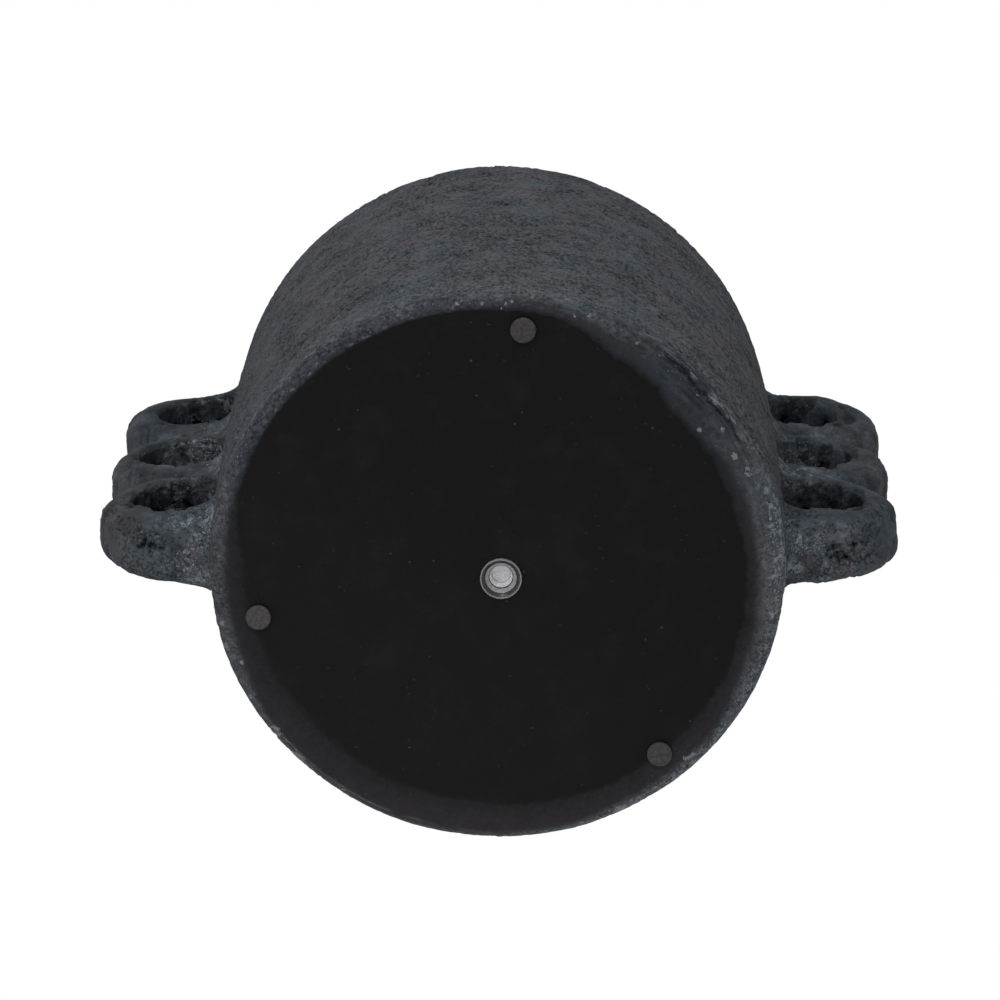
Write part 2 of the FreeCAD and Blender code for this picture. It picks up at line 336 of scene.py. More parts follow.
def shell_grid():
    """The shell's points before they are roughened, in rows, and how rough each becomes."""
    turn = np.arange(SHELL_COLUMNS) * 2 * math.pi / SHELL_COLUMNS
    rows = shell_rows(np.degrees(turn))
    grid = np.zeros((len(rows), SHELL_COLUMNS, 3))
    rough = np.zeros((len(rows), SHELL_COLUMNS))
    for index, (radius, height, roughness, drain) in enumerate(rows):
        grid[index, :, 0] = radius * np.cos(turn) + DRAIN[0] * drain
        grid[index, :, 1] = radius * np.sin(turn) + DRAIN[1] * drain
        grid[index, :, 2] = height + STAND
        rough[index] = roughness
    return grid, rough.ravel()


# Values for points far from paint and from the crack
NO_PAINT = -50.0
NO_CRACK = 50.0


def edge_paint(points):
    """Paint, film, bloom, chips, pale flecks and a painted light gradient of the shell, named as its
    material reads them.
    """
    around, reach, height = polar(points)
    inside = (height > FLOOR - 1) & (reach < BASE_RADIUS - WALL / 2)
    climbed = np.maximum(height - 1, 0) * 0.6
    fade = round_pot(around, BLACK_FADE)
    wobble = 1.3 * noise(points / 15, 95) + 0.8 * noise(points / 6, 96)
    wobble *= 0.25 + 0.9 * hump(around, 330, 42)
    paint = (round_pot(around, BLACK_END) + wobble - reach - climbed) / fade
    coat = (round_pot(around, COAT_END) + wobble - reach - climbed) / 3.5
    paint[inside] = NO_PAINT
    coat[inside] = NO_PAINT
    film = np.maximum(hump(around, 314, 25), 0.8 * hump(around, 230, 50))
    film = film * (1 - inside) * ramp(13, 5, height)
    edge = ramp(8, 2, np.abs(reach - 148)) * ramp(22, 4, height)
    where = 0.12 + 0.35 * hump(around, 225, 45) + 0.8 * hump(around, 355, 22)
    where = where + 0.45 * hump(around, 45, 25)
    mineral = (where * edge + 0.2 * ramp(80, 8, height)) * (1 - 0.8 * film) * (1 - inside)
    wander = height - 3.3 - 0.7 * noise(points / 30, 71)
    rim = ramp(0.9, 0.2, np.abs(wander)) * hump(around, 126, 32)
    rim *= ramp(-0.5, 0.1, noise(points / 12, 57))
    border = ramp(1.1, 0.3, np.abs(reach - 145.2 - wobble)) * hump(around, 232, 42)
    border *= 0.6 * ramp(0.25, 0.6, noise(points / 3.5, 97)) * (1 - inside)
    chips = 1.3 * chipped(around, reach) * ramp(-0.6, 0.1, layered(points / 4.5, 2, 49))
    chips += 0.7 * rim * ramp(0.0, 0.4, noise(points / 7, 58))
    return {"paint": paint, "coat": coat, "ragged": 4.0 / (1 + fade), "film": film,
            # painted light: the paint is made paler towards the back-left, a painted lighting
            # gradient
            "painted_light_gradient": 0.005 * ramp(-140, 120, points[:, 1] - 0.5 * points[:, 0]),
            "mineral": mineral + wall_bloom(points) * (reach > BASE_RADIUS - 9),
            "chips": chips * ramp(30, 18, height), "pale_marks_and_highlight": 0.35 * rim + border}


def build_shell(material):
    """The pot itself: one closed, roughened mesh with its drain hole."""
    grid, rough = shell_grid()
    points = grid.reshape(-1, 3)
    around, _, height = polar(points)
    rubbed = 0.2 + 0.3 * hump(around, 110, 80) + 0.7 * hump(around, 325, 30)
    rubbed = rubbed * ramp(14, 6, height)
    out, pits = relief(points, 0, rubbed)
    fold, line, folded, streaks, pale_marks_and_highlight = edge_fold(points)
    normals = grid_normals(grid).reshape(-1, 3)
    moved = points + normals * (out * rough + fold)[:, None]
    values = edge_paint(points)
    values["pale_marks_and_highlight"] = pale_marks_and_highlight + values["pale_marks_and_highlight"]
    # the tone is painted light and shade along the edge's streaks: lighter on their crests, darker
    # in their furrows and in the second groove
    values |= {"rubbed": rubbed, "tone": 1 + 0.3 * streaks, "line": line, "folded": folded,
               "cool": 0.0, "pit": np.clip(pits * rough, 0, 1)}
    faces = ring_faces(len(grid), SHELL_COLUMNS)
    piece = add_clay("clay_pot", moved, faces, values, material)
    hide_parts("pot_shell")


def edge_fold(points):
    """The wall's coat laps over the broad corner of the edge, with a crack under its lip.

    Gives how far the clay stands out there, how far each point is above the crack, how strong
    the fold is there, the streaks that run along it with a second groove, which set a painted
    highlight on the streaks' crests and painted shade in their furrows and in the groove, and
    its pale ridges: worn clay with a painted highlight on them.
    """
    around, reach, height = polar(points)
    ragged = 1.2 * noise(points / 22, 40) + 1.0 * layered(points / 7, 2, 43)
    line = height - 4.4 - ragged
    low = ramp(128, 136, reach) * ramp(90, 15, height)
    folded = hump(around, 318, 15) * ramp(128, 136, reach) * ramp(30, 18, height)
    lip = ramp(-0.2, 0.5, line) * ramp(6, 1.0, line)
    crack = np.exp(-((line + 0.3) / 0.7) ** 2)
    across = height + reach - BASE_RADIUS
    along = np.radians(apart(around, 322)) * BASE_RADIUS
    bend = 2.0 * noise(points / 30, 52)
    places = np.stack([across + bend, along, 0 * along], axis=1)
    streaks = layered(places / (3.0, 30, 1), 3, 51) * hump(around, 322, 38) * low
    places = places / (1.4, 9, 1)
    worn = ramp(0.0, 0.5, layered(places, 2, 57)) * ramp(-0.6, 0.1, noise(points / 11, 59))
    # pale ridges on the lip above the crack: worn clay with a painted highlight on them
    pale_marks_and_highlight = 1.5 * folded * ramp(2.4, 0.5, np.abs(line - 1.7)) * worn
    brushed = ramp(0.35, 0.9, layered(places, 2, 61)) * ramp(-1, 2, line)
    pale_marks_and_highlight += 0.3 * hump(around, 318, 26) * low * brushed
    second = np.exp(-((line - 6.5 - 1.5 * noise(points / 15, 63)) / 0.8) ** 2)
    second *= hump(around, 311, 9) * low
    fold = folded * (1.2 * lip - 0.9 * crack) - 0.6 * second + 0.7 * streaks
    return fold, line, folded, streaks - 0.8 * second, pale_marks_and_highlight


# The loops

def net(field, low, step):
    """The zero surface of sampled values: a point in each crossed cell, a quad round each edge."""
    inside = field < 0
    cells = tuple(count - 1 for count in field.shape)
    count = np.zeros(cells, int)
    for corner in itertools.product((0, 1), repeat=3):
        count += inside[tuple(slice(c, c + n) for c, n in zip(corner, cells))]
    crossed = (count > 0) & (count < 8)
    number = np.full(cells, -1)
    number[crossed] = np.arange(crossed.sum())
    points = low + (np.argwhere(crossed) + 0.5) * step
    quads = []
    for axis in range(3):
        one = (axis + 1) % 3
        two = (axis + 2) % 3
        last = field.shape[axis] - 1
        lower = np.take(inside, range(last), axis)
        upper = np.take(inside, range(1, last + 1), axis)
        edge = np.argwhere(lower != upper)
        for other in (one, two):
            edge = edge[(edge[:, other] > 0) & (edge[:, other] < field.shape[other] - 1)]
        corners = []
        for shift_one, shift_two in ((-1, -1), (0, -1), (0, 0), (-1, 0)):
            cell = edge.copy()
            cell[:, one] += shift_one
            cell[:, two] += shift_two
            corners.append(number[tuple(cell.T)])
        quad = np.stack(corners, axis=1)
        outward = lower[tuple(edge.T)]
        quads.append(np.where(outward[:, None], quad, quad[:, ::-1]))
    return points, np.concatenate(quads)


def slope_of(field, points):
    """The direction in which a field grows fastest, by small steps each way."""
    step = 0.05
    parts = []
    for axis in np.eye(3):
        parts.append(field(points + axis * step) - field(points - axis * step))
    return np.stack(parts, axis=1) / (2 * step)


def settle(field, points, quads):
    """Even the points out and bring them onto the field's zero surface."""
    joins = np.concatenate([quads[:, [i, (i + 1) % 4]] for i in range(4)])
    near = np.bincount(joins[:, 0], minlength=len(points))
    for turn in range(4):
        for _ in range(3):
            slope = slope_of(field, points)
            size = np.maximum((slope * slope).sum(axis=1), 0.05)
            move = np.clip(field(points) / size, -0.6, 0.6)
            points = points - slope * move[:, None]
        if turn == 3:
            return points
        middle = [np.bincount(joins[:, 0], part[joins[:, 1]], len(points)) for part in points.T]
        points = points * 0.4 + np.stack(middle, axis=1) / near[:, None] * 0.6


# How fine the mesh of the loops is, how broadly they run into the wall and how deep they lie in it
LOOP_STEP = 0.85
WALL_BLEND = 8.0
SINK = 0.18


class Loop:
    """One bent strap: its place from the frame and small uneven touches of its own."""

    def __init__(self, side, level):
        low, high = box(f"{side}_loop_{level}")
        self.middle = (low[2] + high[2]) / 2
        self.radius = (high[2] - low[2]) / 2
        self.tip = max(abs(low[0]), abs(high[0])) + RANDOM.uniform(-0.8, 0.4)
        self.lean = RANDOM.uniform(-1.2, 1.2)
        self.thick = LOOP_THICK + RANDOM.uniform(-1.0, 0.6)
        self.extra = LOOP_TIP_EXTRA[side][LOOP_LEVELS.index(level)]
        self.flare = LOOP_FLARE if side == "left" else 0.0

    def hollow(self, points):
        """1 on the faces round the opening, 0 on the outer ones."""
        past = np.maximum(points[:, 0] - self.tip + self.radius, 0)
        spread = np.hypot(past, points[:, 2] - self.middle)
        return ramp(self.radius - self.thick / 2, self.radius - self.thick + 3, spread)

    def distance(self, points):
        """How far points lie outside the strap, as if it were on the right-hand side."""
        turn = self.tip - self.radius
        x, y, z = points.T
        past = np.maximum(x - turn, 0)
        spread = np.hypot(past, z - self.middle)
        half_thick = (self.thick + self.extra * ramp(turn, turn + 22, x)) / 2
        out = spread - (self.radius - half_thick)
        along = (x - BASE_RADIUS) / (self.tip - BASE_RADIUS)
        half_width = (LOOP_ROOT_WIDTH + (LOOP_TIP_WIDTH - LOOP_ROOT_WIDTH) * along) / 2
        half_width = half_width + self.flare * ramp(0.45, 0.0, along) ** 2
        off_centre = np.abs(y - self.lean * along)
        is_outer = out > (LOOP_INNER_ROUND - LOOP_OUTER_ROUND) / 2
        corner = np.where(is_outer, LOOP_OUTER_ROUND, LOOP_INNER_ROUND)
        first = np.where(is_outer, out, -out) + corner - half_thick
        second = off_centre - half_width + corner
        within = np.minimum(np.maximum(first, second), 0)
        return within + np.hypot(np.maximum(first, 0), np.maximum(second, 0)) - corner


def wall_distance(points):
    """How far points lie outside the wall, which ends at the rounded lip."""
    aside = np.hypot(points[:, 0], points[:, 1]) - wall_radius(points[:, 2] - STAND) + LIP_ROUND
    above = points[:, 2] - RIM + LIP_ROUND
    corner = np.hypot(np.maximum(aside, 0), np.maximum(above, 0))
    return np.minimum(np.maximum(aside, above), 0) + corner - LIP_ROUND


def loop_field(loops, own):
    """The surface of one loop where it runs into the wall and its neighbours."""
    me = loops[own]

    def field(points):
        spread = [loop.distance(points) for loop in loops]
        wall = wall_distance(points)
        reach = 4.0 + 5.0 * ramp(20, 4, wall)
        joined = spread[own]
        for index, other in enumerate(spread):
            if index != own:
                joined = blend(joined, other, reach)
        joined = blend(joined, wall + SINK, WALL_BLEND)
        beyond = np.maximum(np.abs(points[:, 2] - me.middle) - me.radius, 0)
        has_below = (points[:, 2] > me.middle) | (own > 0)
        has_above = (points[:, 2] < me.middle) | (own < len(loops) - 1)
        beyond = np.where(has_below & has_above, beyond, 0)
        limits = (beyond - 2.5, spread[own] - 1.4 * WALL_BLEND, -wall - 4.0)
        return np.max([joined + 0.35 * beyond, *limits], axis=0)

    return field


# Rough craters in the undersides of the lowest loops: middle, how far they spread, and how
# stretched they are along each axis
CRATERS = {
    "left": ((-188.0, -5.6, 40.5), 10.0, (1.1, 0.9, 1.0)),
    "right": ((188.0, 3.0, 40.5), 12.0, (1.5, 0.75, 1.0)),
}
CRUMBS = 320

# Dark smears near the tips of some loops: middle, and how far they spread
SMEARS = {
    ("left", "lower"): ((-203.0, -14.0, 46.0), 9.0),
    ("left", "middle"): ((-198.5, -15.5, 128.5), 10.0),
    ("left", "upper"): ((-203.0, -14.5, 212.5), 9.0),
    ("right", "lower"): ((203.0, -4.0, 40.0), 5.0),
}
NO_SMEAR = ((0.0, 0.0, 0.0), 1.0)

# The lower, middle and upper loops: how whitish they are near the wall, how dark their openings
# are, and how much of the whitish bloom is left inside the openings
LOOP_BLOOM = (1.0, 1.2, 0.8)
HOLLOW_SHADE = {"left": (0.22, 0.06, 0.4), "right": (0.1, 0.12, 0.3)}
HOLLOW_BLOOM = {"left": (0.7, 1.5, 0.8), "right": (0.4, 0.5, 0.4)}

# How light and how bluish the loops of each side are
LOOP_TONE = {"left": 0.98, "right": 0.92}
LOOP_COOL = {"left": 0.6, "right": 1.2}


def crumbled(points, middle, spread, kept):
    """Angular crumbs round scattered seeds: each one's depth, and how near a point is to a gap."""
    seeds = middle + RANDOM.normal(size=(CRUMBS, 3)) * (spread, spread * 0.7, 3.0)
    depths = RANDOM.uniform(size=CRUMBS)
    level = np.zeros(len(points))
    gap = np.zeros(len(points))
    away = np.linalg.norm(points[kept][:, None] - seeds, axis=2)
    nearest = np.argsort(away, axis=1)[:, :2]
    first, second = np.take_along_axis(away, nearest, axis=1).T
    level[kept] = depths[nearest[:, 0]]
    gap[kept] = ramp(0.9, 0.1, second - first)
    return level, gap


def loop_mesh(me, field):
    """The field's surface round one loop, evenly divided, with its outward directions."""
    aside = LOOP_ROOT_WIDTH / 2 + 14
    up = me.radius + 14
    low = np.array([BASE_RADIUS - 6, -aside, me.middle - up])
    high = np.array([me.tip + 2, aside, me.middle + up])
    counts = np.ceil((high - low) / LOOP_STEP).astype(int) + 1
    axes = [low[i] + np.arange(counts[i]) * LOOP_STEP for i in range(3)]
    grid = np.stack(np.meshgrid(*axes, indexing="ij"), axis=-1).reshape(-1, 3)
    points, quads = net(field(grid).reshape(counts), low, LOOP_STEP)
    points = settle(field, points, quads)
    normals = slope_of(field, points)
    normals /= np.maximum(np.linalg.norm(normals, axis=1), 1e-6)[:, None]
    return points, quads, normals


def build_loop(loops, own, side, level, material):
    """One loop of a side, a closed mesh sunk a little into the wall."""
    me = loops[own]
    field = loop_field(loops, own)
    points, quads, normals = loop_mesh(me, field)
    off_wall = ramp(1, 12, wall_distance(points))
    on_strap = ramp(10, 3, np.min([loop.distance(points) for loop in loops], axis=0))
    hollow = me.hollow(points) * on_strap
    side_face = ramp(0.55, 0.9, np.abs(normals[:, 1]))
    tip = ramp(-16, -6, points[:, 0] - me.tip)
    rubbed = np.maximum(0.9 * side_face, 0.8 * tip) * ramp(0.5, -0.1, noise(points / 21, 90))
    rubbed = np.maximum(rubbed, 0.2 if own == 0 else 0.6) * on_strap
    # convex edges and concave creases, which get a painted highlight and painted shade below
    painted_ridge_light = ramp(0.15, 0.7, field(points - 2.0 * normals) + 2.0)
    painted_crease_shade = ramp(-0.15, -0.9, field(points + 2.0 * normals) - 2.0)
    hand = LOOP_SIDES[side]
    points[:, 0] *= hand
    normals[:, 0] *= hand
    if hand < 0:
        quads = quads[:, ::-1]

    out, pits = relief(points, off_wall, rubbed)
    middle, spread, stretch = CRATERS[side]
    away = np.linalg.norm((points - middle) / stretch, axis=1)
    torn = ramp(spread, spread * 0.65, away + 5 * noise(points / 6, 60))
    depth, gap = crumbled(points, middle, spread, torn > 0)
    pocket = ramp(0.0, 0.35, noise(points / 5, 66))
    crater = torn * (0.25 + 0.4 * depth + 0.25 * gap + 0.6 * pocket)
    tooled = hollow ** 2 * off_wall * ramp(0, 0.3, noise(points / (6.5, 26, 26), 70))
    gouged = ramp(0.05, 0.6, noise(points / (8, 19, 9), 73)) * (1 - hollow) * off_wall
    gouged *= 1 - 0.8 * side_face
    wiped = ramp(0.16, 0.02, np.abs(noise(points / (26, 26, 10), 77))) * off_wall * (1 - hollow)
    step = out - 2.6 * crater - 1.2 * tooled - 0.9 * gouged + 0.35 * wiped
    moved = points + normals * step[:, None]

    near = ramp(44, 8, wall_distance(points)) * bloom_patches(points)
    kept = 1 + (HOLLOW_BLOOM[side][own] - 1) * hollow
    mineral = near * LOOP_BLOOM[own] * (1 - 0.6 * side_face) * kept * (1 - 0.6 * torn)
    mineral = wall_bloom(points) * (1 - on_strap) + (mineral + 0.2 * torn) * on_strap
    # painted shade in the openings: darker towards the middle of the loop's width, raggedly, in the
    # tool grooves and most on faces turned down
    within = ramp(17, 4, np.abs(points[:, 1]))
    ragged = ramp(-0.1, 0.35, layered(points / 4, 2, 64))
    deep = HOLLOW_SHADE[side][own] + (0.3 + 0.35 * ragged) * within + 0.25 * tooled
    deep *= 0.25 + 0.75 * ramp(0.5, -0.1, normals[:, 2])
    tone = (1 - 0.26 * side_face) * (1 - deep * hollow)
    # painted shade in the crater's gaps between crumbs and in its pockets
    tone *= 1 - torn * (0.45 * gap + 0.55 * pocket)
    tone *= LOOP_TONE[side] * (1 + (0.24 + 0.1 * own) * noise(points / (15, 15, 10), 86))
    smear, reach = SMEARS.get((side, level), NO_SMEAR)
    smeared = np.exp(-(((points - smear) ** 2).sum(axis=1)) / reach ** 2)
    smeared *= 0.4 + 0.6 * ramp(-0.2, 0.2, noise(points / (2.6, 12, 12), 92))
    tone *= 1 - 0.5 * smeared
    # painted highlight on convex edges and painted shade in creases; gouges are darker and wiped
    # marks lighter
    tone *= (1 + 0.4 * painted_ridge_light) * (1 - 0.3 * painted_crease_shade) * (1 - 0.35 * gouged) * (1 + 0.1 * wiped)
    # the pale value here is a painted highlight on the crater's raised crumbs, away from gaps and
    # pockets
    values = {"mineral": np.clip(mineral, 0, 1), "tone": 1 + (tone - 1) * on_strap,
              "pit": np.clip(pits + 0.6 * tooled, 0, 1), "rubbed": rubbed,
              "pale_marks_and_highlight": 0.3 * torn * (1 - depth) * (1 - gap) * (1 - pocket),
              "cool": (LOOP_COOL[side] + 1.1 * noise(points / 19, 88)) * on_strap,
              "paint": NO_PAINT, "coat": NO_PAINT, "line": NO_CRACK}
    values |= dict.fromkeys(("ragged", "film", "folded", "chips", "painted_light_gradient"), 0.0)
    piece = add_clay(f"clay_{side}_loop_{level}", moved, quads, values, material)
    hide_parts(f"{side}_loop_{level}")


# Turned small pieces

def turned(name, outline, centre, columns, body):
    """A closed turned mesh from an outline of (radius, height) that starts and ends on its axis."""
    rings = [point for point in outline if point[0] > 0]
    angle = np.arange(columns) * 2 * math.pi / columns
    points = [(0, 0, outline[0][1])]
    for radius, height in rings:
        for turn in angle:
            points.append((radius * math.cos(turn), radius * math.sin(turn), height))
    points.append((0, 0, outline[-1][1]))
    points = np.array(points) + (centre[0], centre[1], 0)
    faces = []
    last = len(points) - 1
    top = 1 + (len(rings) - 1) * columns
    for column in range(columns):
        aside = (column + 1) % columns
        faces.append((0, 1 + aside, 1 + column))
        for row in range(len(rings) - 1):
            start = 1 + row * columns
            faces.append((start + column, start + aside, start + columns + aside,
                          start + columns + column))
        faces.append((top + column, top + aside, last))
    mesh = bpy.data.meshes.new(name)
    mesh.from_pydata((points * MM).tolist(), [], faces)
    mesh.shade_smooth()
    return placed(name, mesh, body)


def rounded(corners, radius):
    """An outline whose inner corners are rounded."""
    corners = [np.array(corner, dtype=float) for corner in corners]
    outline = [corners[0]]
    for before, corner, after in zip(corners, corners[1:], corners[2:]):
        back = before - corner
        ahead = after - corner
        room = min(np.linalg.norm(back), np.linalg.norm(ahead)) * 0.45
        size = min(radius, room)
        start = corner + back / np.linalg.norm(back) * size
        end = corner + ahead / np.linalg.norm(ahead) * size
        for share in np.linspace(0, 1, 4):
            outline.append(start * (1 - share) ** 2 + corner * 2 * share * (1 - share)
                           + end * share ** 2)
    outline.append(corners[-1])
    return outline


# Each pad is made lighter or darker by its own factor
PAD_TONE = {"front": 1.06, "left": 1.4, "rear": 1.18}
PAD_EDGE = 0.7


def build_pads():
    """The three round pads, in the places of the solids."""
    for name in PADS:
        low, high = box(f"{name}_foot_pad")
        radius = (high[0] - low[0]) / 2
        centre = (low + high) / 2
        corners = [(0, low[2]), (radius, low[2]), (radius, high[2]), (0, high[2])]
        piece = turned(f"{name}_pad", rounded(corners, PAD_EDGE), centre, 72, "pot")
        piece.data.materials.append(pad_material(f"{name}_pad_soft", PAD_TONE[name]))
        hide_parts(f"{name}_foot_pad")


# The plug: how far its face stands below the underside, its raised rim and dish, and its ribs
PLUG_FACE = 1.6
PLUG_RIM = 0.7
PLUG_EDGE = 0.3
DISH_DIP = 4.2
CUP_DEPTH = 9.0
RIBS = 3
RIB_HEIGHT = 1.2
RIB_REACH = 0.3

# The plug's materials, each with its clearness and tone; the cup's wall and floor get lighter tones
# than the rest, painted light in the cup
PLUG_LOOKS = {
    "plug_milky": (0.45, 0.34),
    "plug_clear": (0.85, 0.08),
    "plug_cup_wall": (0.1, 0.88),
    "plug_cup_floor": (0.35, 0.54),
    "plug_dish": (0.3, 0.43),
}


def build_plug():
    """The clear plug: raised rim, dish, cup and ribbed stem."""
    face = STAND - PLUG_FACE
    top = PLUG_HIGH[2]
    core = DRAIN_RADIUS - 0.35
    cup = DRAIN_RADIUS - 2.3
    cup_floor = face + CUP_DEPTH
    dish_edge = FLANGE_RADIUS - 1.15
    slope_end = FLANGE_RADIUS - 1.6
    rim = FLANGE_RADIUS - PLUG_RIM
    dish = [(reach, face + DISH_DIP * (slope_end - reach) / (slope_end - cup))
            for reach in (cup, cup + 0.6, DRAIN_RADIUS)]
    corners = [(0, cup_floor), (cup - 1.0, cup_floor), *dish, (dish_edge, face), (rim, face),
               (rim, PLUG_LOW[2]), (FLANGE_RADIUS, PLUG_LOW[2]), (FLANGE_RADIUS, STAND),
               (core, STAND)]
    gap = (top - STAND - RIBS * RIB_HEIGHT) / (RIBS + 1)
    for rib in range(RIBS):
        low = STAND + gap * (rib + 1) + RIB_HEIGHT * rib
        high = low + RIB_HEIGHT
        corners += [(core, low), (core + RIB_REACH, low), (core + RIB_REACH, high), (core, high)]
    corners += [(core, top - gap / 2), (core - gap / 2, top), (0, top)]
    piece = turned("clear_drain_plug", rounded(corners, PLUG_EDGE), DRAIN, 128, "plug")
    for name, (clearness, tone) in PLUG_LOOKS.items():
        piece.data.materials.append(plug_material(name, clearness, tone))
    for part in piece.data.polygons:
        off = part.center / MM - Vector(DRAIN)
        reach = math.hypot(off.x, off.y)
        look = "plug_milky"
        if reach < cup - 0.8:
            look = "plug_cup_floor"
        elif reach < cup + 0.05:
            look = "plug_cup_wall"
        elif reach < cup + 0.5 or DRAIN_RADIUS < reach < FLANGE_RADIUS - 0.75:
            look = "plug_clear"
        elif reach < DRAIN_RADIUS and part.center.z / MM < STAND + 3:
            look = "plug_dish"
        part.material_index = list(PLUG_LOOKS).index(look)
    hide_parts("drain_plug")


# Materials

class Value:
    """A number that varies over a surface and joins in sums as a plain number does."""

    def __init__(self, nodes, socket):
        self.nodes = nodes
        self.socket = socket

    def __add__(self, other):
        return self.nodes.reckon("ADD", self, other)

    def __sub__(self, other):
        return self.nodes.reckon("SUBTRACT", self, other)

    def __mul__(self, other):
        return self.nodes.reckon("MULTIPLY", self, other)


class Nodes:
    """A short way to build the node tree of a material or of the world."""

    def __init__(self, owner, empty=False):
        owner.use_nodes = True
        self.owner = owner
        self.tree = owner.node_tree
        if empty:
            self.tree.nodes.clear()
        else:
            self.shader = self.tree.nodes["Principled BSDF"]
            self.where = self.coordinates()

    def add(self, kind, **settings):
        """A new node, with values for its sockets and its own settings by name."""
        node = self.tree.nodes.new(f"ShaderNode{kind}")
        for key, value in settings.items():
            if key in node.inputs:
                node.inputs[key].default_value = value
            else:
                setattr(node, key, value)
        return node

    def link(self, source, target):
        self.tree.links.new(getattr(source, "socket", source), target)

    def put(self, item, socket):
        """Gives a socket a plain number, a plain colour or what another socket carries."""
        if isinstance(item, (int, float)):
            socket.default_value = item
        elif isinstance(item, tuple):
            socket.default_value = (*item, 1)
        else:
            self.link(item, socket)

    def coordinates(self, scale=(1, 1, 1)):
        """The piece's own coordinates, in metres."""
        mapping = self.add("Mapping", Scale=scale)
        self.link(self.add("TexCoord").outputs["Object"], mapping.inputs["Vector"])
        return mapping.outputs["Vector"]

    def noise(self, size, detail=3.0, roughness=0.55, where=None):
        """Noise whose features are about size millimetres across."""
        node = self.add("TexNoise", Scale=1 / (size * MM), Detail=detail, Roughness=roughness)
        self.link(where or self.where, node.inputs["Vector"])
        return Value(self, node.outputs["Fac"])

    def cells(self, size, where=None):
        """A random number for each of the angular crumbs, about size millimetres across."""
        node = self.add("TexVoronoi", feature="F1", Scale=1 / (size * MM))
        self.link(where or self.where, node.inputs["Vector"])
        parted = self.add("SeparateColor")
        self.link(node.outputs["Color"], parted.inputs["Color"])
        return Value(self, parted.outputs["Red"])

    def bent(self, size, reach):
        """Coordinates shifted about by noise, so that what uses them has uneven outlines."""
        node = self.add("TexNoise", Scale=1 / (size * MM))
        self.link(self.where, node.inputs["Vector"])
        shift = self.add("VectorMath", operation="SCALE", Scale=reach * MM)
        self.link(node.outputs["Color"], shift.inputs[0])
        moved = self.add("VectorMath", operation="ADD")
        self.link(self.where, moved.inputs[0])
        self.link(shift.outputs[0], moved.inputs[1])
        return moved.outputs[0]

    def value(self, name):
        """What the mesh carries at each of its points."""
        return Value(self, self.add("Attribute", attribute_name=name).outputs["Fac"])

    def reckon(self, operation, first, second, clamp=False):
        """The result of a sum on two values."""
        node = self.add("Math", operation=operation, use_clamp=clamp)
        self.put(first, node.inputs[0])
        self.put(second, node.inputs[1])
        return Value(self, node.outputs["Value"])

    def spread(self, value, low, high, new_low=0.0, new_high=1.0):
        """A value from low to high, drawn out smoothly from new_low to new_high."""
        limits = {"From Min": low, "From Max": high, "To Min": new_low, "To Max": new_high}
        node = self.add("MapRange", interpolation_type="SMOOTHSTEP", **limits)
        self.link(value, node.inputs["Value"])
        return Value(self, node.outputs["Result"])

    def mix(self, share, first, second, how="MIX"):
        """Two colours mixed by a share."""
        node = self.add("Mix", data_type="RGBA", blend_type=how)
        self.put(share, node.inputs["Factor"])
        self.put(first, node.inputs[6])
        self.put(second, node.inputs[7])
        return node.outputs[2]

    def bump(self, height, strength, distance):
        """Roughens the shading by a height, over a distance in millimetres."""
        node = self.add("Bump", Strength=strength, Distance=distance * MM)
        self.link(height, node.inputs["Height"])
        self.link(node.outputs["Normal"], self.shader.inputs["Normal"])

    def finish(self, colour, plain):
        """The material, with its colour and with plain numbers for its shader's sockets."""
        self.link(colour, self.shader.inputs["Base Color"])
        for key, value in plain.items():
            self.shader.inputs[key].default_value = value
        return self.owner

    def choose(self, share, first, second, output):
        """An output's surface: one shader or the other, by a share."""
        mix = self.add("MixShader")
        for socket, source in zip(mix.inputs, (share, first.outputs[0], second.outputs[0])):
            self.link(source, socket)
        self.link(mix.outputs[0], output.inputs["Surface"])


BLUE_GREY = (0.063, 0.076, 0.088)
PLAIN_GREY = (0.074, 0.077, 0.085)
WARM_GREY = (0.078, 0.0765, 0.083)
FILM = (0.024, 0.031, 0.039)
WARM_FILM = (0.029, 0.030, 0.036)
BLACK_PAINT = (0.0068, 0.0067, 0.0067)
THIN_PAINT = (0.0210, 0.0166, 0.0200)
DULL_PAINT = (0.0218, 0.0189, 0.0226)
CHIP = (0.24, 0.25, 0.26)
BLOOM = (0.22, 0.26, 0.29)
MINERAL = (0.34, 0.37, 0.40)
PAD_DARK = (0.023, 0.022, 0.022)
PAD_PALE = (0.050, 0.0465, 0.0475)
STICKY_DARK = (0.010, 0.010, 0.010)
STICKY_PALE = (0.022, 0.021, 0.021)
PLUG_DULL = (0.86, 0.85, 0.88)
PLUG_PALE = (1.12, 1.12, 1.14)
CLAY_ROUGHNESS = 0.82
PAINT_ROUGHNESS = 0.6


def toned(colour, tone):
    """A colour made lighter or darker."""
    return tuple(part * tone for part in colour)


